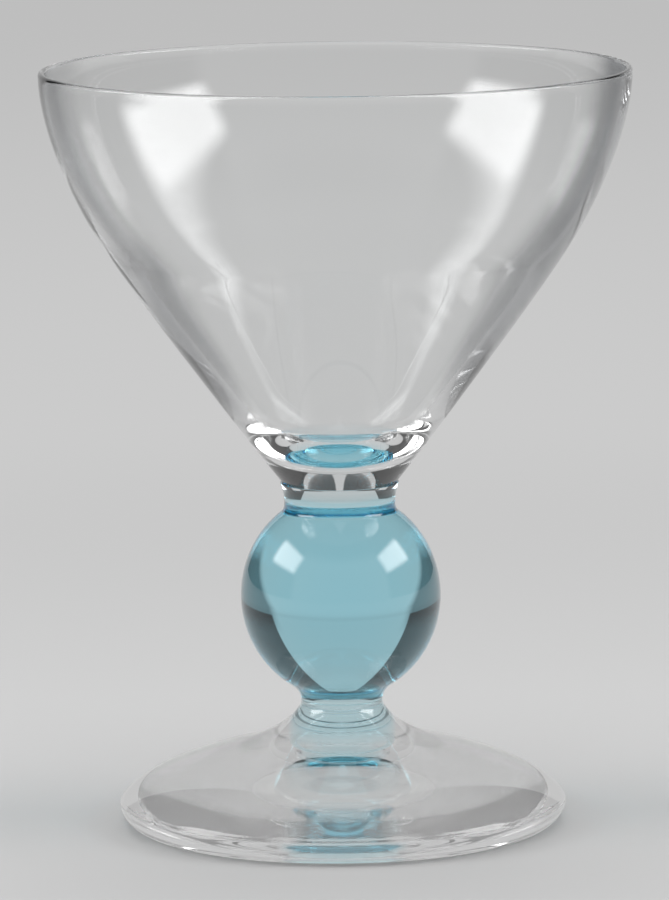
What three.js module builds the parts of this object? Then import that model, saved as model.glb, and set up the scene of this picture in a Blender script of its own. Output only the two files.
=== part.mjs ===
// Cocktail glass of three hot-joined gathers: a clear bowl, an aqua ball stem and a clear foot.
// Sizes are in millimetres, angles in radians from the axis. +Z is up and the foot stands on Z = 0.
import * as THREE from "three";

// Facets round the axis, and points along one curve of an outline. The bowl and the stem share theirs,
// so that the dish and its cup have the same facets.
const FACETS = 56;
const UPPER_POINTS = 7;
const FOOT_POINTS = 5;

// Height of the glass, and the two joints: a flat ring each, round the bowl's dish and the stem's peg.
const HEIGHT = 111;
const BOWL_JOINT_Z = 50.4;
const DISH_R = 7;
const DISH_DEPTH = 2.5;
const DISH_REACH = 4.3;
const DISH_RING = 1.3;
const FOOT_JOINT_Z = 16.9;
const PEG_R = 6.1;
const PEG_RING = 0.35;
const CLEARANCE = 0.05;

// Outside of the bowl: a cone that turns upright above the shoulder and ends in a round rim.
const RIM_R = 43;
const RIM_WALL = 1.05;
const SHOULDER_R = 33;
const SHOULDER_Z = 83.9;
const CONE_LEAN = 0.582;
const CONE_REACH = 10;
const SHOULDER_REACH = 11.4;
const RIM_REACH = 6.8;
const BASE_LEAN = 0.71;
const BASE_REACH = 3;

// Inside of the bowl: a wall that thickens downwards and a round well in a thick base.
const SHOULDER_WALL = 1.5;
const BASE_THICKNESS = 4.5;
const WELL_R = 14;
const WELL_DEPTH = 7.3;
const WELL_FLOOR_REACH = 6.2;
const WELL_REACH = 5.2;
const INSIDE_REACH = 9.8;
const INSIDE_RIM_REACH = 7.2;

// Ball: slightly taller than wide, with a waisted collar and its lip above it and a narrow neck below it.
const BALL_R = 14.65;
const BALL_HALF_HEIGHT = 15.27;
const BALL_Z = 33.7;
const BALL_LOW_ANGLE = -1.02;
const BALL_HIGH_ANGLE = 0.94;
const COLLAR_R = 8.12;
const COLLAR_Z = 47.3;
const LIP = 0.35;
const NECK_R = 5.95;
const NECK_Z = 18.2;

// Foot: a low dome with a round edge, standing on a flat ring round a hollow, with glass left below the peg.
const FOOT_R = 32.75;
const FOOT_WIDEST_Z = 3.9;
const EDGE_R = 28.2;
const EDGE_Z = 8.15;
const EDGE_REACH = 2.2;
const SIDE_REACH = 2.1;
const LOW_SIDE_REACH = 1.8;
const FLARE_R = 16.5;
const FLARE_Z = 11.2;
const FLARE_REACH = 5.2;
const FOOT_JOINT_LEAN = 2.53;
const FOOT_JOINT_REACH = 2.7;
const REST_OUTER_R = 30.9;
const REST_RING = 2.7;
const REST_REACH = 0.8;
const HOLLOW_DEPTH = 6.1;
const HOLLOW_REACH = 9;
const PEG_FLOOR = 1.5;

const baseR = DISH_R + DISH_RING;
const footJointR = PEG_R + PEG_RING;
const pegZ = HOLLOW_DEPTH + PEG_FLOOR;

// A piece turned round the axis from an outline whose x is the radius and whose y is the height.
function turned(name, outline, points, look) {
  const shape = new THREE.LatheGeometry(outline.getPoints(points), FACETS);
  shape.rotateX(Math.PI / 2);
  const piece = new THREE.Mesh(shape, new THREE.MeshStandardMaterial(look));
  piece.name = name;
  return piece;
}

// The point that lies a given way from (r, z) along a slope.
function along(r, z, lean, way) {
  return [r + way * Math.sin(lean), z + way * Math.cos(lean)];
}

function bowlOutline() {
  const dishZ = BOWL_JOINT_Z - DISH_DEPTH + CLEARANCE;
  const wellFloorZ = BOWL_JOINT_Z + BASE_THICKNESS;
  const wellZ = wellFloorZ + WELL_DEPTH;
  const rimZ = HEIGHT - RIM_WALL / 2;
  const insideRimR = RIM_R - RIM_WALL;
  const insideR = SHOULDER_R - SHOULDER_WALL * Math.cos(CONE_LEAN);
  const insideZ = SHOULDER_Z + SHOULDER_WALL * Math.sin(CONE_LEAN);
  const insideLean = Math.atan2(insideR - WELL_R, insideZ - wellZ);
  const outline = new THREE.Path();
  outline.moveTo(0, dishZ);
  outline.quadraticCurveTo(DISH_REACH, dishZ, DISH_R, BOWL_JOINT_Z);
  outline.lineTo(baseR, BOWL_JOINT_Z);
  outline.bezierCurveTo(
    ...along(baseR, BOWL_JOINT_Z, BASE_LEAN, BASE_REACH),
    ...along(SHOULDER_R, SHOULDER_Z, CONE_LEAN, -CONE_REACH),
    SHOULDER_R,
    SHOULDER_Z,
  );
  outline.bezierCurveTo(
    ...along(SHOULDER_R, SHOULDER_Z, CONE_LEAN, SHOULDER_REACH),
    RIM_R,
    rimZ - RIM_REACH,
    RIM_R,
    rimZ,
  );
  outline.absarc(RIM_R - RIM_WALL / 2, rimZ, RIM_WALL / 2, 0, Math.PI, false);
  outline.bezierCurveTo(
    insideRimR,
    rimZ - INSIDE_RIM_REACH,
    ...along(insideR, insideZ, insideLean, INSIDE_REACH),
    insideR,
    insideZ,
  );
  outline.lineTo(WELL_R, wellZ);
  outline.bezierCurveTo(
    ...along(WELL_R, wellZ, insideLean, -WELL_REACH),
    WELL_FLOOR_REACH,
    wellFloorZ,
    0,
    wellFloorZ,
  );
  return outline;
}

// The point of the ball at an angle above its middle, and where its slope there meets a radius.
function ballPoint(angle) {
  return [BALL_R * Math.cos(angle), BALL_Z + BALL_HALF_HEIGHT * Math.sin(angle)];
}

function ballSlopeMeets(angle, radius) {
  const [r, z] = ballPoint(angle);
  return z + ((r - radius) * BALL_HALF_HEIGHT) / (BALL_R * Math.tan(angle));
}

function ballOutline() {
  const cupZ = BOWL_JOINT_Z - DISH_DEPTH;
  const lowZ = ballSlopeMeets(BALL_LOW_ANGLE, NECK_R);
  const highZ = ballSlopeMeets(BALL_HIGH_ANGLE, COLLAR_R);
  const outline = new THREE.Path();
  outline.moveTo(0, pegZ);
  outline.lineTo(PEG_R, pegZ);
  outline.lineTo(PEG_R, FOOT_JOINT_Z);
  outline.lineTo(footJointR, FOOT_JOINT_Z);
  outline.quadraticCurveTo(NECK_R, (FOOT_JOINT_Z + NECK_Z) / 2, NECK_R, NECK_Z);
  outline.quadraticCurveTo(NECK_R, lowZ, ...ballPoint(BALL_LOW_ANGLE));
  outline.absellipse(0, BALL_Z, BALL_R, BALL_HALF_HEIGHT, BALL_LOW_ANGLE, BALL_HIGH_ANGLE, false, 0);
  outline.quadraticCurveTo(COLLAR_R, highZ, COLLAR_R, COLLAR_Z);
  outline.quadraticCurveTo(COLLAR_R, (COLLAR_Z + BOWL_JOINT_Z) / 2, baseR + LIP, BOWL_JOINT_Z);
  outline.lineTo(DISH_R, BOWL_JOINT_Z);
  outline.quadraticCurveTo(DISH_REACH, cupZ, 0, cupZ);
  return outline;
}

function footOutline() {
  const topLean = Math.atan2(EDGE_R - FLARE_R, EDGE_Z - FLARE_Z);
  const socketR = PEG_R + CLEARANCE;
  const socketZ = pegZ - CLEARANCE;
  const outline = new THREE.Path();
  outline.moveTo(0, HOLLOW_DEPTH);
  outline.quadraticCurveTo(HOLLOW_REACH, HOLLOW_DEPTH, REST_OUTER_R - REST_RING, 0);
  outline.lineTo(REST_OUTER_R, 0);
  outline.bezierCurveTo(
    REST_OUTER_R + REST_REACH,
    0,
    FOOT_R,
    FOOT_WIDEST_Z - LOW_SIDE_REACH,
    FOOT_R,
    FOOT_WIDEST_Z,
  );
  outline.bezierCurveTo(
    FOOT_R,
    FOOT_WIDEST_Z + SIDE_REACH,
    ...along(EDGE_R, EDGE_Z, topLean, EDGE_REACH),
    EDGE_R,
    EDGE_Z,
  );
  outline.lineTo(FLARE_R, FLARE_Z);
  outline.bezierCurveTo(
    ...along(FLARE_R, FLARE_Z, topLean, -FLARE_REACH),
    ...along(footJointR, FOOT_JOINT_Z, FOOT_JOINT_LEAN, FOOT_JOINT_REACH),
    footJointR,
    FOOT_JOINT_Z,
  );
  outline.lineTo(socketR, FOOT_JOINT_Z);
  outline.lineTo(socketR, socketZ);
  outline.lineTo(0, socketZ);
  return outline;
}

const clear = { color: 0xe6e9ea, roughness: 0.04, metalness: 0 };
const aqua = { color: 0x9fd0da, roughness: 0.04, metalness: 0 };

const glass = new THREE.Group();
glass.add(turned("bowl", bowlOutline(), UPPER_POINTS, clear));
glass.add(turned("ball_stem", ballOutline(), UPPER_POINTS, aqua));
glass.add(turned("foot", footOutline(), FOOT_POINTS, clear));

export default glass;
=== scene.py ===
"""Cocktail glass: a clear bowl on an aqua ball stem and a clear foot, turned in the frame's sizes."""

import math

import bmesh
import bpy
from mathutils import Euler, Matrix, Vector
from mathutils.geometry import interpolate_bezier


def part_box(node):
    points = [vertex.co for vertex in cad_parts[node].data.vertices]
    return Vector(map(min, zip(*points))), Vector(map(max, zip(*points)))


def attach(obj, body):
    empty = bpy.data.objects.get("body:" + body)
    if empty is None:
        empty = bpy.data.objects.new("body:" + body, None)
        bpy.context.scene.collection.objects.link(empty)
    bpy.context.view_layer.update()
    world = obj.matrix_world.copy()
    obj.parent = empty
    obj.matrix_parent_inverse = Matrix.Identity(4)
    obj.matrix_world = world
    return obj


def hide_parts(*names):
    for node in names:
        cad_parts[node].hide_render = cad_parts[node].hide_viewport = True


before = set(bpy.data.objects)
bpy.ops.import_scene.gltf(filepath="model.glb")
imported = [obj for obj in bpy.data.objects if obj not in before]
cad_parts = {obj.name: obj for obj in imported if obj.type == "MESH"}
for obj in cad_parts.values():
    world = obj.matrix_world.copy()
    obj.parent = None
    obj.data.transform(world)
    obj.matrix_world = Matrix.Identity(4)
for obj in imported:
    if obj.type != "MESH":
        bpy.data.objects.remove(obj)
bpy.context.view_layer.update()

BOWL_LOW, BOWL_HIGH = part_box("bowl")
BALL_LOW, BALL_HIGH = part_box("ball_stem")
FOOT_LOW, FOOT_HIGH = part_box("foot")
MM = 0.001

# Air left between two pieces at a joint, and how near a face has to lie to a height to count as on it.
GAP = 0.01 * MM
NEAR = 0.01 * MM

# Handle length of a quarter circle, for a radius of 1.
QUARTER = 0.5523

# Angle between two faces from which their edge stays crisp.
CREASE = math.radians(25)

# Strength of the painted dark reflections in the glass where they are fullest.
PAINTED_DARK_STRENGTH = 0.95

bl_info = {
    "name": "Cocktail Glass",
    "version": (1, 0, 0),
    "blender": (4, 5, 0),
    "location": "View3D > Sidebar > Glass",
    "description": "Turns a ball-stem cocktail glass and sets up a pale studio round it",
    "category": "Object",
}


class BowlSizes(bpy.types.PropertyGroup):
    """Outline of the bowl. A reach is how far a curve keeps to the slope of its end."""

    rim_radius: bpy.props.FloatProperty(
        name="Rim radius", description="Outer radius of the rim",
        default=BOWL_HIGH.x, unit="LENGTH")
    rim_wall: bpy.props.FloatProperty(
        name="Rim wall", description="Thickness of the wall at the rim",
        default=1.05 * MM, unit="LENGTH")
    rim_reach: bpy.props.FloatProperty(
        name="Rim reach", description="How far the outside stays nearly upright below the rim",
        default=6.8 * MM, unit="LENGTH")
    inside_rim_reach: bpy.props.FloatProperty(
        name="Inside rim reach", description="How far the inside stays nearly upright below the rim",
        default=7.2 * MM, unit="LENGTH")
    shoulder_radius: bpy.props.FloatProperty(
        name="Shoulder radius", description="Radius where the cone starts to turn upright",
        default=33 * MM, unit="LENGTH")
    shoulder_height: bpy.props.FloatProperty(
        name="Shoulder height", description="Height where the cone starts to turn upright",
        default=83.9 * MM, unit="LENGTH")
    shoulder_wall: bpy.props.FloatProperty(
        name="Shoulder wall", description="Thickness of the wall at the shoulder",
        default=1.5 * MM, unit="LENGTH")
    shoulder_reach: bpy.props.FloatProperty(
        name="Shoulder reach", description="Reach of the outside above the shoulder",
        default=11.4 * MM, unit="LENGTH")
    inside_reach: bpy.props.FloatProperty(
        name="Inside reach", description="Reach of the inside above the shoulder",
        default=9.8 * MM, unit="LENGTH")
    cone_lean: bpy.props.FloatProperty(
        name="Cone lean", description="Lean of the cone from the axis",
        default=0.582, subtype="ANGLE")
    cone_reach: bpy.props.FloatProperty(
        name="Cone reach", description="Reach of the outside below the shoulder",
        default=10 * MM, unit="LENGTH")
    base_radius: bpy.props.FloatProperty(
        name="Base radius", description="Radius of the bowl where it leaves the collar",
        default=8.3 * MM, unit="LENGTH")
    base_lean: bpy.props.FloatProperty(
        name="Base lean", description="Lean of the wall from the axis where it leaves the joint",
        default=0.71, subtype="ANGLE")
    base_reach: bpy.props.FloatProperty(
        name="Base reach", description="Reach of the outside above the joint",
        default=3 * MM, unit="LENGTH")
    well_radius: bpy.props.FloatProperty(
        name="Well radius", description="Inner radius at the top of the round well",
        default=14 * MM, unit="LENGTH")
    well_height: bpy.props.FloatProperty(
        name="Well height", description="Height of the top of the round well",
        default=62.2 * MM, unit="LENGTH")
    well_reach: bpy.props.FloatProperty(
        name="Well reach", description="Reach of the inside below the top of the well",
        default=5.2 * MM, unit="LENGTH")
    well_floor: bpy.props.FloatProperty(
        name="Well floor", description="Height of the lowest point inside",
        default=54.9 * MM, unit="LENGTH")
    well_floor_reach: bpy.props.FloatProperty(
        name="Well floor reach", description="How far the well's floor stays nearly level from the axis",
        default=6.2 * MM, unit="LENGTH")


class StemSizes(bpy.types.PropertyGroup):
    """Outline of the ball stem."""

    ball_radius: bpy.props.FloatProperty(
        name="Ball radius", description="Radius of the ball at its middle",
        default=BALL_HIGH.x, unit="LENGTH")
    ball_half_height: bpy.props.FloatProperty(
        name="Ball half height", description="Half height of the ball, if it were whole",
        default=15.27 * MM, unit="LENGTH")
    ball_height: bpy.props.FloatProperty(
        name="Ball height", description="Height of the ball's middle",
        default=33.7 * MM, unit="LENGTH")
    low_angle: bpy.props.FloatProperty(
        name="Low angle", description="Angle below the middle where the ball runs into the neck",
        default=-1.02, subtype="ANGLE")
    high_angle: bpy.props.FloatProperty(
        name="High angle", description="Angle above the middle where the ball runs into the collar",
        default=0.94, subtype="ANGLE")
    collar_radius: bpy.props.FloatProperty(
        name="Collar radius", description="Radius of the collar's waist",
        default=8.12 * MM, unit="LENGTH")
    collar_height: bpy.props.FloatProperty(
        name="Collar height", description="Height of the collar's waist",
        default=47.3 * MM, unit="LENGTH")
    lip: bpy.props.FloatProperty(
        name="Lip", description="How far the collar's edge stands out past the bowl's base",
        default=0.35 * MM, unit="LENGTH")
    cup_radius: bpy.props.FloatProperty(
        name="Cup radius", description="Radius of the cup in the collar's top",
        default=7.0 * MM, unit="LENGTH")
    cup_depth: bpy.props.FloatProperty(
        name="Cup depth", description="Depth of the cup in the collar's top",
        default=2.5 * MM, unit="LENGTH")
    cup_level: bpy.props.FloatProperty(
        name="Cup level", description="Share of the cup's radius over which it stays nearly level",
        default=0.62, subtype="FACTOR")
    neck_radius: bpy.props.FloatProperty(
        name="Neck radius", description="Radius of the neck's waist",
        default=5.95 * MM, unit="LENGTH")
    neck_height: bpy.props.FloatProperty(
        name="Neck height", description="Height of the neck's waist",
        default=18.2 * MM, unit="LENGTH")
    joint_radius: bpy.props.FloatProperty(
        name="Joint radius", description="Radius of the flat joint with the foot",
        default=6.45 * MM, unit="LENGTH")
    joint_height: bpy.props.FloatProperty(
        name="Joint height", description="Height of the flat joint with the foot",
        default=16.9 * MM, unit="LENGTH")
    peg_radius: bpy.props.FloatProperty(
        name="Peg radius", description="Radius of the peg let into the foot",
        default=6.1 * MM, unit="LENGTH")
    seam_radius: bpy.props.FloatProperty(
        name="Seam radius", description="Inner radius of the seam that shows at the end of the peg",
        default=5.2 * MM, unit="LENGTH")


class FootSizes(bpy.types.PropertyGroup):
    """Outline of the foot, which ends in a thin, crisp edge. Leans are measured from the axis."""

    radius: bpy.props.FloatProperty(
        name="Radius", description="Widest radius of the foot",
        default=FOOT_HIGH.x, unit="LENGTH")
    widest_height: bpy.props.FloatProperty(
        name="Widest height", description="Height of the widest circle",
        default=3.2 * MM, unit="LENGTH")
    below_reach: bpy.props.FloatProperty(
        name="Reach below", description="How far the side stays nearly upright below its widest circle",
        default=1.6 * MM, unit="LENGTH")
    above_reach: bpy.props.FloatProperty(
        name="Reach above", description="How far the side stays nearly upright above its widest circle",
        default=0.4 * MM, unit="LENGTH")
    edge_radius: bpy.props.FloatProperty(
        name="Edge radius", description="Radius where the top turns over into the side",
        default=32.35 * MM, unit="LENGTH")
    edge_height: bpy.props.FloatProperty(
        name="Edge height", description="Height where the top turns over into the side",
        default=4.0 * MM, unit="LENGTH")
    edge_lean: bpy.props.FloatProperty(
        name="Edge lean", description="Lean of the side where it meets the top",
        default=2.85, subtype="ANGLE")
    edge_reach: bpy.props.FloatProperty(
        name="Edge reach", description="Reach of the side below the edge",
        default=0.3 * MM, unit="LENGTH")
    top_lean: bpy.props.FloatProperty(
        name="Top lean", description="Lean of the top where it meets the side",
        default=2.4, subtype="ANGLE")
    top_reach: bpy.props.FloatProperty(
        name="Top reach", description="Reach of the top inside the edge",
        default=4.2 * MM, unit="LENGTH")
    flare_radius: bpy.props.FloatProperty(
        name="Flare radius", description="Radius where the top starts to rise to the neck",
        default=16.5 * MM, unit="LENGTH")
    flare_height: bpy.props.FloatProperty(
        name="Flare height", description="Height where the top starts to rise to the neck",
        default=11.2 * MM, unit="LENGTH")
    flare_lean: bpy.props.FloatProperty(
        name="Flare lean", description="Lean of the top where it starts to rise",
        default=1.83, subtype="ANGLE")
    flare_outer_reach: bpy.props.FloatProperty(
        name="Flare outer reach", description="Reach of the top outside the start of the flare",
        default=8.0 * MM, unit="LENGTH")
    flare_inner_reach: bpy.props.FloatProperty(
        name="Flare inner reach", description="Reach of the top inside the start of the flare",
        default=5.2 * MM, unit="LENGTH")
    joint_lean: bpy.props.FloatProperty(
        name="Joint lean", description="Lean of the flare where it meets the neck",
        default=2.53, subtype="ANGLE")
    joint_reach: bpy.props.FloatProperty(
        name="Joint reach", description="Reach of the flare below the joint",
        default=2.7 * MM, unit="LENGTH")
    ring_outer: bpy.props.FloatProperty(
        name="Ring outside", description="Outer radius of the flat ring that the glass stands on",
        default=29.8 * MM, unit="LENGTH")
    ring_inner: bpy.props.FloatProperty(
        name="Ring inside", description="Inner radius of the flat ring that the glass stands on",
        default=27.0 * MM, unit="LENGTH")
    ring_reach: bpy.props.FloatProperty(
        name="Ring reach", description="How far the side stays nearly level outside the ring",
        default=1.2 * MM, unit="LENGTH")
    hollow: bpy.props.FloatProperty(
        name="Hollow", description="Depth of the hollow under the foot",
        default=6.1 * MM, unit="LENGTH")
    hollow_reach: bpy.props.FloatProperty(
        name="Hollow reach", description="How far the hollow stays nearly level from the axis",
        default=9 * MM, unit="LENGTH")


class GlassLook(bpy.types.PropertyGroup):
    """Colours and finish of the glass."""

    clear_colour: bpy.props.FloatVectorProperty(
        name="Clear", description="Tint of the clear glass at each surface",
        default=(0.985, 0.99, 0.99), size=3, subtype="COLOR", min=0, max=1)
    # Colour of the painted dark reflection in the bowl's wall where it is seen edge on.
    painted_edge_reflection_colour: bpy.props.FloatVectorProperty(
        name="Edge", description="Tint of the bowl's wall where it is seen edge on",
        default=(0.2, 0.21, 0.22), size=3, subtype="COLOR", min=0, max=1)
    # Colour of the painted dark reflection on the ball's flanks.
    painted_flank_reflection_colour: bpy.props.FloatVectorProperty(
        name="Flank", description="Tint of the ball's flanks",
        default=(0.04, 0.08, 0.09), size=3, subtype="COLOR", min=0, max=1)
    aqua_colour: bpy.props.FloatVectorProperty(
        name="Aqua", description="Colour that the aqua glass keeps",
        default=(0.057, 0.813, 0.965), size=3, subtype="COLOR", min=0, max=1)
    aqua_density: bpy.props.FloatProperty(
        name="Aqua density", description="Absorption of the aqua glass, for one metre",
        default=30, min=0)
    ball_gloss: bpy.props.FloatProperty(
        name="Ball gloss", description="Weight of the fire-polished coat on the ball",
        default=0.5, min=0, max=1, subtype="FACTOR")
    bowl_wave: bpy.props.FloatProperty(
        name="Bowl wave", description="Depth of the blown waves in the bowl's wall",
        default=0.9 * MM, unit="LENGTH")
    solid_wave: bpy.props.FloatProperty(
        name="Solid wave", description="Depth of the waves on the stem and the foot",
        default=0.06 * MM, unit="LENGTH")
    seam_share: bpy.props.FloatProperty(
        name="Seam share", description="See-through share of the seam at the end of the peg",
        default=0.2, min=0, max=1, subtype="FACTOR")
    underside_share: bpy.props.FloatProperty(
        name="Underside share", description="See-through share of the hollow under the foot",
        default=0.25, min=0, max=1, subtype="FACTOR")
    shadow_share: bpy.props.FloatProperty(
        name="Shadow share", description="Share of the light that each surface lets into its shadow",
        default=0.5, min=0, max=1, subtype="FACTOR")


class StageLook(bpy.types.PropertyGroup):
    """Floor, backdrop, lamps and camera."""

    floor_level: bpy.props.FloatProperty(
        name="Floor level", description="Pale grey of the floor", default=0.6, min=0, max=1)
    floor_size: bpy.props.FloatProperty(
        name="Floor size", description="Half width of the floor", default=5.0, unit="LENGTH")
    side_level: bpy.props.FloatProperty(
        name="Side level", description="Grey of the dark sides of the studio",
        default=0.06, min=0, max=1)
    backdrop_level: bpy.props.FloatProperty(
        name="Backdrop level", description="Pale grey of the backdrop in the glass",
        default=0.53, min=0, max=1)
    front_level: bpy.props.FloatProperty(
        name="Front level", description="Grey added in front of the glass", default=0.4, min=0, max=1)
    sky_level: bpy.props.FloatProperty(
        name="Sky level", description="Pale grey that the camera sees past the floor",
        default=0.5, min=0, max=1)
    softbox_power: bpy.props.FloatProperty(
        name="Softbox power", description="Power of each softbox, in watts", default=1.6, min=0)
    softbox_size: bpy.props.FloatVectorProperty(
        name="Softbox size", description="Width and height of each softbox",
        default=(0.42, 0.22), size=2, unit="LENGTH")
    softbox_place: bpy.props.FloatVectorProperty(
        name="Softbox place", description="Place of the softbox on the right",
        default=(0.42, -0.07, 0.32), size=3, unit="LENGTH")
    softbox_aim: bpy.props.FloatProperty(
        name="Softbox aim", description="Height on the axis that the softboxes point at",
        default=40 * MM, unit="LENGTH")
    overhead_power: bpy.props.FloatProperty(
        name="Overhead power", description="Power of the lamp above, in watts", default=8.0, min=0)
    overhead_size: bpy.props.FloatProperty(
        name="Overhead size", description="Width of the lamp above", default=1.2, unit="LENGTH")
    overhead_place: bpy.props.FloatVectorProperty(
        name="Overhead place", description="Place of the lamp above",
        default=(0.0, 0.2, 1.0), size=3, unit="LENGTH")
    camera_place: bpy.props.FloatVectorProperty(
        name="Camera place", description="Place of the camera",
        default=(-0.69 * MM, -923.1 * MM, 197.8 * MM), size=3, unit="LENGTH")
    camera_pitch: bpy.props.FloatProperty(
        name="Camera pitch", description="How far the camera looks down",
        default=math.radians(8.789), subtype="ANGLE")
    camera_roll: bpy.props.FloatProperty(
        name="Camera roll", description="How far the camera leans",
        default=math.radians(-0.63), subtype="ANGLE")
    frame_height: bpy.props.FloatProperty(
        name="Frame height", description="Height of the camera's frame in millimetres", default=36.0)
    lens: bpy.props.FloatProperty(
        name="Lens", description="Focal length in millimetres", default=256.1)


class Socket:
    """An output of a shader node. Arithmetic on it adds Math nodes."""

    def __init__(self, shader, output):
        self.shader = shader
        self.output = output

    def math(self, operation, *values):
        return self.shader.node("Math", {"operation": operation}, dict(enumerate(values)))

    def __add__(self, other):
        return self.math("ADD", self, other)

    def __sub__(self, other):
        return self.math("SUBTRACT", self, other)

    def __rsub__(self, other):
        return self.math("SUBTRACT", other, self)

    def __mul__(self, other):
        return self.math("MULTIPLY", self, other)

    def __truediv__(self, other):
        return self.math("DIVIDE", self, other)

    def __rtruediv__(self, other):
        return self.math("DIVIDE", other, self)

    def __neg__(self):
        return self.math("MULTIPLY", self, -1.0)

    def __abs__(self):
        return self.math("ABSOLUTE", self)

    __radd__ = __add__
    __rmul__ = __mul__

    def larger(self, other):
        """The larger of this value and another."""
        return self.math("MAXIMUM", self, other)

    def smooth(self, low, high):
        """0 below low, 1 above high and a soft step between them."""
        settings = {"interpolation_type": "SMOOTHSTEP"}
        return self.shader.node("MapRange", settings, {"Value": self, "From Min": low, "From Max": high})

    def parts(self):
        """The X, Y and Z of a vector."""
        split = self.shader.node("SeparateXYZ", None, {0: self}).output.node
        return [Socket(self.shader, split.outputs[name]) for name in "XYZ"]


class Shader:
    """The node tree of one material, lamp or world."""

    def __init__(self, owner):
        owner.use_nodes = True
        self.tree = owner.node_tree
        self.tree.nodes.clear()

    def node(self, kind, settings=None, inputs=None, output=0):
        """Adds a node, makes its settings, then sets or links its inputs, and returns one output."""
        made = self.tree.nodes.new("ShaderNode" + kind)
        for name, value in (settings or {}).items():
            setattr(made, name, value)
        for name, value in (inputs or {}).items():
            if isinstance(value, Socket):
                self.tree.links.new(value.output, made.inputs[name])
            else:
                made.inputs[name].default_value = value
        if not made.outputs:
            return None
        return Socket(self, made.outputs[output])

    def grey(self, tone):
        """A grey of a varying tone."""
        return self.node("CombineColor", None, {0: tone, 1: tone, 2: tone})

    def facing(self):
        """0 where a surface is seen square on and 1 where it is seen edge on."""
        return self.node("LayerWeight", None, {"Blend": 0.5}, "Facing")


def painted_bowl_edge_reflection(shader, place):
    """Painted dark reflection in the bowl's wall where it is seen edge on: in patches all round, and along
    a cord on the right.
    """
    x, _, z = place.parts()
    noise = shader.node("TexNoise", None, {"Vector": place, "Scale": 28.0, "Detail": 0.0})
    patches = noise.smooth(0.42, 0.6)
    # Painted dark reflection: noise patches all round, and a cord on the upper right of the wall.
    cord = x.smooth(0.0, 20 * MM) * z.smooth(74 * MM, 90 * MM)
    edge_on = shader.facing().smooth(0.48, 0.7)
    return PAINTED_DARK_STRENGTH * edge_on * patches.larger(cord)


def painted_ball_flank_reflection(shader, place):
    """Painted dark reflection: where the ball's upper half is darkened towards its outline, in a band that
    narrows upwards.
    """
    z = place.parts()[2]
    band = z.smooth(29.5 * MM, 32.5 * MM) * (1.0 - z.smooth(39.5 * MM, 43.5 * MM))
    rise = (z - bpy.context.scene.stem_sizes.ball_height).larger(0.0)
    narrowing = 32.0 * rise
    return PAINTED_DARK_STRENGTH * (shader.facing() - narrowing).smooth(0.24, 0.33) * band


def drawn_waves(shader, place, scale):
    """Waves of hot glass, drawn out along the axis."""
    drawn = shader.node("VectorMath", {"operation": "MULTIPLY"}, {0: place, 1: (1.0, 1.0, 0.45)})
    return shader.node("TexNoise", None, {"Vector": drawn, "Scale": scale, "Detail": 0.0})


def bowl_waves(shader, place):
    """Broad waves of the blown wall, which die away towards the thick base."""
    z = place.parts()[2]
    return drawn_waves(shader, place, 40.0) * z.smooth(55 * MM, 85 * MM)


def stem_waves(shader, place):
    """Faint, narrow waves of the fire-polished ball."""
    return drawn_waves(shader, place, 60.0)


def foot_waves(shader, place):
    """Faint waves of the pressed foot."""
    return drawn_waves(shader, place, 50.0)


def glass_material(name, look, waves, depth, painted_shade=None, painted_shade_colour=None, aqua=False):
    """Glass with waves in its surface, an optional painted shade (a painted dark reflection) where it is
    seen edge on, and see-through joints.
    """
    material = bpy.data.materials.new(name)
    shader = Shader(material)
    place = shader.node("TexCoord", output="Object")
    see_through = shader.node("Attribute", {"attribute_name": "see_through"}, output="Fac")
    shadow = shader.node("LightPath", output="Is Shadow Ray")
    bump = shader.node(
        "Bump", None, {"Height": waves(shader, place), "Strength": 1.0, "Distance": depth}, "Normal")
    tint = (*look.clear_colour, 1.0)
    # The optional painted shade mixes a painted dark reflection into the glass's tint.
    if painted_shade:
        colours = {0: painted_shade(shader, place), 6: tint, 7: (*painted_shade_colour, 1.0)}
        tint = shader.node("Mix", {"data_type": "RGBA"}, colours, 2)
    ends = {"Surface": shader.node("BsdfPrincipled", None, {
        "Base Color": tint,
        "Roughness": 0.0,
        "IOR": 1.5,
        "Transmission Weight": 1.0,
        "Coat Weight": look.ball_gloss if aqua else 0.0,
        "Normal": bump,
        "Alpha": (1.0 - see_through) * (1.0 - look.shadow_share * shadow),
    })}
    if aqua:
        ends["Volume"] = shader.node("VolumeAbsorption", None, {
            "Color": (*look.aqua_colour, 1.0), "Density": look.aqua_density})
    shader.node("OutputMaterial", None, ends)
    return material


def curve(start, start_handle, end_handle, end, points=24):
    """Points of one Bezier curve of an outline, without its first."""
    knots = [Vector((r, 0.0, z)) for r, z in (start, start_handle, end_handle, end)]
    return [(p.x, p.z) for p in interpolate_bezier(*knots, points)[1:]]


def quadratic(start, handle, end, points=14):
    """Points of a curve with one handle, without its first."""
    handles = [tuple(a + (h - a) * 2 / 3 for a, h in zip(knot, handle)) for knot in (start, end)]
    return curve(start, *handles, end, points)


def arc(start, corner, end, points=12):
    """Points of a quarter ellipse that leaves start towards corner and reaches end from it."""
    handles = [tuple(a + QUARTER * (c - a) for a, c in zip(knot, corner)) for knot in (start, end)]
    return curve(start, *handles, end, points)


def line(start, end, points=30):
    """Points of a straight stretch, without its first."""
    return curve(start, start, end, end, points)


def along(point, lean, way):
    """The point that lies a given way along a slope, whose lean is measured from the axis."""
    return point[0] + way * math.sin(lean), point[1] + way * math.cos(lean)


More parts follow.
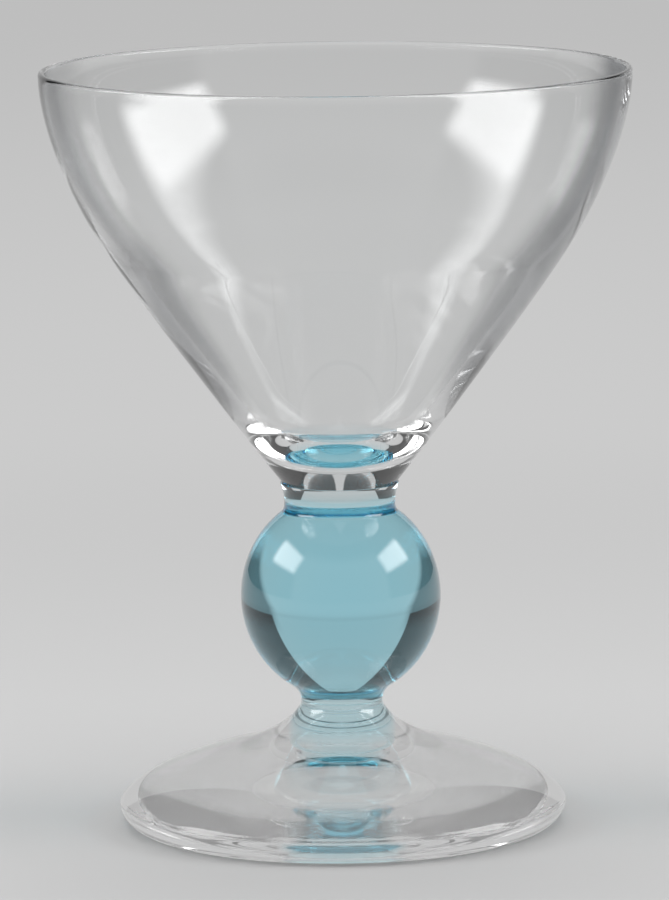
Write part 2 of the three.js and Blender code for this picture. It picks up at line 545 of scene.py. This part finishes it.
def turn(name, outline, spots, material, steps=192):
    """Spins an outline round the axis into a closed piece and marks the faces that are see-through.

    Each spot has a lowest and a highest height, an inner and an outer radius, and its see-through share.
    """
    mesh = bmesh.new()
    verts = [mesh.verts.new((r, 0.0, z)) for r, z in outline]
    edges = [mesh.edges.new(pair) for pair in zip(verts, verts[1:])]
    bmesh.ops.spin(
        mesh, geom=verts + edges, cent=(0, 0, 0), axis=(0, 0, 1), dvec=(0, 0, 0),
        angle=math.tau, steps=steps, use_merge=True)
    bmesh.ops.remove_doubles(mesh, verts=mesh.verts, dist=1e-6)
    bmesh.ops.recalc_face_normals(mesh, faces=mesh.faces)
    if not all(edge.is_manifold for edge in mesh.edges):
        raise ValueError(name + " is not closed")
    marks = mesh.faces.layers.float.new("see_through")
    for face in mesh.faces:
        face.smooth = True
        middle = face.calc_center_median()
        reach = math.hypot(middle.x, middle.y)
        for low, high, inner, outer, share in spots:
            if low - NEAR < middle.z < high + NEAR and inner < reach < outer:
                face[marks] = share
                break
    data = bpy.data.meshes.new(name)
    mesh.to_mesh(data)
    mesh.free()
    data.set_sharp_from_angle(angle=CREASE)
    data.materials.append(material)
    piece = bpy.data.objects.new(name, data)
    bpy.context.scene.collection.objects.link(piece)
    return piece


def dish(sizes, top):
    """The bowl's round bottom, which sits in the collar's cup, from the axis to the cup's edge."""
    floor = (0.0, top - sizes.cup_depth)
    edge = (sizes.cup_radius, top)
    return [floor] + quadratic(floor, (sizes.cup_radius * sizes.cup_level, floor[1]), edge)


def bowl_outline(sizes, stem):
    """Outside from the dish to the rim, then inside down to the well's floor."""
    joint = (sizes.base_radius, BALL_HIGH.z + GAP)
    shoulder = (sizes.shoulder_radius, sizes.shoulder_height)
    rim = (sizes.rim_radius, BOWL_HIGH.z - sizes.rim_wall / 2)
    top = (sizes.rim_radius - sizes.rim_wall / 2, BOWL_HIGH.z)
    inner_rim = (sizes.rim_radius - sizes.rim_wall, rim[1])
    inner = along(shoulder, sizes.cone_lean - math.pi / 2, sizes.shoulder_wall)
    well = (sizes.well_radius, sizes.well_height)
    floor = (0.0, sizes.well_floor)
    inner_lean = math.atan2(inner[0] - well[0], inner[1] - well[1])
    points = dish(stem, joint[1]) + [joint]
    points += curve(
        joint, along(joint, sizes.base_lean, sizes.base_reach),
        along(shoulder, sizes.cone_lean, -sizes.cone_reach), shoulder)
    points += curve(
        shoulder, along(shoulder, sizes.cone_lean, sizes.shoulder_reach),
        (rim[0], rim[1] - sizes.rim_reach), rim)
    points += arc(rim, (rim[0], top[1]), top)
    points += arc(top, (inner_rim[0], top[1]), inner_rim)
    points += curve(
        inner_rim, (inner_rim[0], inner_rim[1] - sizes.inside_rim_reach),
        along(inner, inner_lean, sizes.inside_reach), inner)
    points += line(inner, well)
    points += curve(
        well, along(well, inner_lean, -sizes.well_reach), (sizes.well_floor_reach, floor[1]), floor)
    return points


def stem_outline(sizes, seat_radius):
    """From the end of the peg up the neck, round the ball and up the collar to the cup."""
    def ball(angle):
        return (sizes.ball_radius * math.cos(angle),
                sizes.ball_height + sizes.ball_half_height * math.sin(angle))

    def handle(angle, radius):
        r, z = ball(angle)
        slope = -sizes.ball_radius * math.tan(angle) / sizes.ball_half_height
        return radius, z + (radius - r) / slope

    joint = (sizes.joint_radius, sizes.joint_height)
    neck = (sizes.neck_radius, sizes.neck_height)
    collar = (sizes.collar_radius, sizes.collar_height)
    lip = (seat_radius + sizes.lip, BALL_HIGH.z)
    steps = 64
    turn_by = (sizes.high_angle - sizes.low_angle) / steps
    points = [(r, BALL_LOW.z) for r in (0.0, sizes.seam_radius, sizes.peg_radius)]
    points += [(sizes.peg_radius, joint[1]), joint]
    points += quadratic(joint, (neck[0], (joint[1] + neck[1]) / 2), neck)
    points += quadratic(neck, handle(sizes.low_angle, neck[0]), ball(sizes.low_angle))
    points += [ball(sizes.low_angle + turn_by * n) for n in range(1, steps + 1)]
    points += quadratic(points[-1], handle(sizes.high_angle, collar[0]), collar)
    points += quadratic(collar, (collar[0], (collar[1] + lip[1]) / 2), lip)
    points += [(seat_radius, lip[1])] + dish(sizes, lip[1])[::-1]
    return points


def foot_outline(sizes, stem):
    """From the hollow's middle out to the ring, round the edge, up to the joint and into the socket."""
    joint = (stem.joint_radius, stem.joint_height - GAP)
    socket = (stem.peg_radius + GAP, BALL_LOW.z - GAP)
    hollow = (0.0, FOOT_LOW.z + sizes.hollow)
    inner = (sizes.ring_inner, FOOT_LOW.z)
    outer = (sizes.ring_outer, FOOT_LOW.z)
    widest = (sizes.radius, sizes.widest_height)
    edge = (sizes.edge_radius, sizes.edge_height)
    flare = (sizes.flare_radius, sizes.flare_height)
    points = [hollow]
    points += quadratic(hollow, (sizes.hollow_reach, hollow[1]), inner, 60)
    points += [outer]
    points += curve(
        outer, (outer[0] + sizes.ring_reach, outer[1]), (widest[0], widest[1] - sizes.below_reach), widest)
    points += curve(
        widest, (widest[0], widest[1] + sizes.above_reach),
        along(edge, sizes.edge_lean, sizes.edge_reach), edge, 10)
    points += curve(
        edge, along(edge, sizes.top_lean, -sizes.top_reach),
        along(flare, sizes.flare_lean, sizes.flare_outer_reach), flare, 30)
    points += curve(
        flare, along(flare, sizes.flare_lean, -sizes.flare_inner_reach),
        along(joint, sizes.joint_lean, sizes.joint_reach), joint)
    points += [(socket[0], joint[1]), socket, (stem.seam_radius, socket[1]), (0.0, socket[1])]
    return points


def dress(piece, node):
    """Makes a piece ride the part's one body in place of a CAD node."""
    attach(piece, "root")
    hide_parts(node)


class GLASS_OT_bowl(bpy.types.Operator):
    """Turn the clear bowl"""

    bl_idname = "glass.bowl"
    bl_label = "Bowl"

    def execute(self, context):
        sizes = context.scene.bowl_sizes
        stem = context.scene.stem_sizes
        look = context.scene.glass_look
        material = glass_material(
            "clear bowl glass", look, bowl_waves, look.bowl_wave, painted_bowl_edge_reflection, look.painted_edge_reflection_colour)
        spots = [(BALL_HIGH.z - stem.cup_depth, BALL_HIGH.z + GAP, 0.0, sizes.base_radius, 1.0)]
        piece = turn("bowl_glass", bowl_outline(sizes, stem), spots, material)
        dress(piece, "bowl")
        return {"FINISHED"}


class GLASS_OT_stem(bpy.types.Operator):
    """Turn the aqua ball stem"""

    bl_idname = "glass.stem"
    bl_label = "Ball stem"

    def execute(self, context):
        sizes = context.scene.stem_sizes
        look = context.scene.glass_look
        seat_radius = context.scene.bowl_sizes.base_radius
        material = glass_material(
            "aqua stem glass", look, stem_waves, look.solid_wave, painted_ball_flank_reflection, look.painted_flank_reflection_colour, aqua=True)
        spots = [
            (BALL_LOW.z, BALL_LOW.z, sizes.seam_radius, sizes.peg_radius, look.seam_share),
            (BALL_LOW.z, sizes.joint_height, 0.0, sizes.joint_radius, 1.0),
            (BALL_HIGH.z - sizes.cup_depth, BALL_HIGH.z, 0.0, sizes.cup_radius, 1.0),
            (BALL_HIGH.z, BALL_HIGH.z, 0.0, seat_radius, 1.0),
        ]
        piece = turn("ball_stem_glass", stem_outline(sizes, seat_radius), spots, material)
        dress(piece, "ball_stem")
        return {"FINISHED"}


class GLASS_OT_foot(bpy.types.Operator):
    """Turn the clear foot"""

    bl_idname = "glass.foot"
    bl_label = "Foot"

    def execute(self, context):
        sizes = context.scene.foot_sizes
        stem = context.scene.stem_sizes
        look = context.scene.glass_look
        material = glass_material("clear foot glass", look, foot_waves, look.solid_wave)
        socket_z = BALL_LOW.z - GAP
        hollow_z = FOOT_LOW.z + sizes.hollow
        spots = [
            (socket_z, socket_z, stem.seam_radius, stem.joint_radius, look.seam_share),
            (socket_z, stem.joint_height, 0.0, stem.joint_radius, 1.0),
            (FOOT_LOW.z, hollow_z, sizes.hollow_reach, sizes.ring_inner, look.underside_share),
        ]
        piece = turn("foot_glass", foot_outline(sizes, stem), spots, material)
        dress(piece, "foot")
        return {"FINISHED"}


def floor_material(look):
    """Pale paper that is lit near the glass, and runs into an emitted tone further off and in the glass.
    That tone is even but for a painted shadow near the glass, seen in the glass, and a painted falloff of
    light further off.
    """
    material = bpy.data.materials.new("pale floor")
    shader = Shader(material)
    place = shader.node("TexCoord", output="Object")
    reach = shader.node("VectorMath", {"operation": "LENGTH"}, {0: place}, "Value")
    through = shader.node("LightPath", output="Is Transmission Ray")
    mirrored = shader.node("LightPath", output="Is Glossy Ray")
    in_glass = through.larger(mirrored)
    # Painted shadow: the floor seen in the glass is darker near the glass.
    painted_shadow_under_glass = 0.06 - 0.04 * reach.smooth(50 * MM, 120 * MM)
    # Painted falloff of light: the emitted tone darkens by up to 14 percent further off.
    level = look.floor_level * (1.0 - 0.14 * reach.smooth(0.3, 1.4))
    tone = level * (1.0 - in_glass * painted_shadow_under_glass)
    lit = shader.node("BsdfDiffuse", None, {"Color": (look.floor_level,) * 3 + (1.0,)})
    even = shader.node("Emission", None, {"Color": shader.grey(tone), "Strength": 1.0})
    far = reach.smooth(0.12, 0.4)
    mixed = shader.node("MixShader", None, {0: far.larger(in_glass), 1: lit, 2: even})
    shader.node("OutputMaterial", None, {"Surface": mixed})
    return material


def studio_world(look):
    """A pale backdrop behind the glass between dark sides, and a grey front."""
    world = bpy.data.worlds.new("studio")
    bpy.context.scene.world = world
    shader = Shader(world)
    x, y, z = shader.node("TexCoord", output="Generated").parts()
    camera = shader.node("LightPath", output="Is Camera Ray")
    side = abs(x) - y * (0.62 - 0.5 * z)
    backdrop = 1.0 - side.smooth(0.0, 0.02)
    front = (-y - 0.6 * abs(x)).smooth(-0.1, 0.1) * (1.0 - z.smooth(0.6, 0.8))
    tone = look.side_level + (look.backdrop_level - look.side_level) * backdrop
    tone = tone + (1.0 - backdrop) * front * look.front_level
    tone = tone + camera * (look.sky_level - tone)
    light = shader.node("Background", None, {"Color": shader.grey(tone), "Strength": 1.0})
    shader.node("OutputWorld", None, {"Surface": light})


def softbox(name, side, look):
    """A soft rectangular lamp at one side of the glass, which fades towards its edges."""
    lamp = bpy.data.lights.new(name, "AREA")
    lamp.shape = "RECTANGLE"
    lamp.size, lamp.size_y = look.softbox_size
    lamp.energy = look.softbox_power
    shader = Shader(lamp)
    spread = shader.node("NewGeometry", output="Parametric")
    centre = shader.node("VectorMath", {"operation": "SUBTRACT"}, {0: spread, 1: (0.5, 0.5, 0.0)})
    across, up, _ = centre.parts()
    glow = (1.0 - abs(across).smooth(0.3, 0.5)) * (1.0 - abs(up).smooth(0.26, 0.5))
    shader.node("OutputLight", None, {0: shader.node("Emission", None, {"Strength": glow})})
    box = bpy.data.objects.new(name, lamp)
    right, back, height = look.softbox_place
    box.location = (side * right, back, height)
    aim = Vector((0.0, 0.0, look.softbox_aim)) - box.location
    box.rotation_euler = aim.to_track_quat("-Z", "Y").to_euler()
    box.visible_camera = False
    bpy.context.scene.collection.objects.link(box)


def overhead(look):
    """A wide lamp above that lights the floor evenly and is not seen in the glass."""
    lamp = bpy.data.lights.new("overhead", "AREA")
    lamp.size = look.overhead_size
    lamp.energy = look.overhead_power
    high = bpy.data.objects.new("overhead", lamp)
    high.location = look.overhead_place
    high.visible_camera = False
    high.visible_glossy = False
    high.visible_transmission = False
    bpy.context.scene.collection.objects.link(high)


def pale_floor(look):
    """A level sheet under the glass."""
    mesh = bmesh.new()
    bmesh.ops.create_grid(mesh, x_segments=1, y_segments=1, size=look.floor_size)
    data = bpy.data.meshes.new("floor")
    mesh.to_mesh(data)
    mesh.free()
    data.materials.append(floor_material(look))
    floor = bpy.data.objects.new("floor", data)
    bpy.context.scene.collection.objects.link(floor)


def photo_camera(look):
    """The camera at the photograph's viewing angle."""
    camera = bpy.data.cameras.new("camera")
    camera.sensor_fit = "VERTICAL"
    camera.sensor_height = look.frame_height
    camera.lens = look.lens
    camera.clip_end = 20.0
    stand = bpy.data.objects.new("camera", camera)
    stand.location = look.camera_place
    level = Euler((math.pi / 2 - look.camera_pitch, 0, 0)).to_matrix()
    stand.rotation_euler = (level @ Matrix.Rotation(look.camera_roll, 3, "Z")).to_euler()
    bpy.context.scene.collection.objects.link(stand)
    bpy.context.scene.camera = stand


class GLASS_OT_stage(bpy.types.Operator):
    """Set up the floor, the softboxes, the world and the camera"""

    bl_idname = "glass.stage"
    bl_label = "Stage"

    def execute(self, context):
        scene = context.scene
        look = scene.stage_look
        pale_floor(look)
        studio_world(look)
        softbox("left softbox", -1, look)
        softbox("right softbox", 1, look)
        overhead(look)
        photo_camera(look)
        scene.view_settings.view_transform = "Standard"
        scene.cycles.max_bounces = 64
        scene.cycles.transmission_bounces = 64
        scene.cycles.glossy_bounces = 64
        scene.cycles.transparent_max_bounces = 32
        return {"FINISHED"}


class GLASS_PT_sidebar(bpy.types.Panel):
    """Lists the operators of the glass"""

    bl_idname = "GLASS_PT_sidebar"
    bl_label = "Cocktail Glass"
    bl_space_type = "VIEW_3D"
    bl_region_type = "UI"
    bl_category = "Glass"

    def draw(self, context):
        for name in ("glass.bowl", "glass.stem", "glass.foot", "glass.stage"):
            self.layout.operator(name)


SETTINGS = {
    "bowl_sizes": BowlSizes,
    "stem_sizes": StemSizes,
    "foot_sizes": FootSizes,
    "glass_look": GlassLook,
    "stage_look": StageLook,
}
OPERATORS = (GLASS_OT_bowl, GLASS_OT_stem, GLASS_OT_foot, GLASS_OT_stage)
CLASSES = (*SETTINGS.values(), *OPERATORS, GLASS_PT_sidebar)


def register():
    for item in CLASSES:
        bpy.utils.register_class(item)
    for name, group in SETTINGS.items():
        setattr(bpy.types.Scene, name, bpy.props.PointerProperty(type=group))


def unregister():
    for name in SETTINGS:
        delattr(bpy.types.Scene, name)
    for item in reversed(CLASSES):
        bpy.utils.unregister_class(item)


def main():
    register()
    bpy.ops.glass.bowl()
    bpy.ops.glass.stem()
    bpy.ops.glass.foot()
    bpy.ops.glass.stage()


if __name__ == "__main__":
    main()
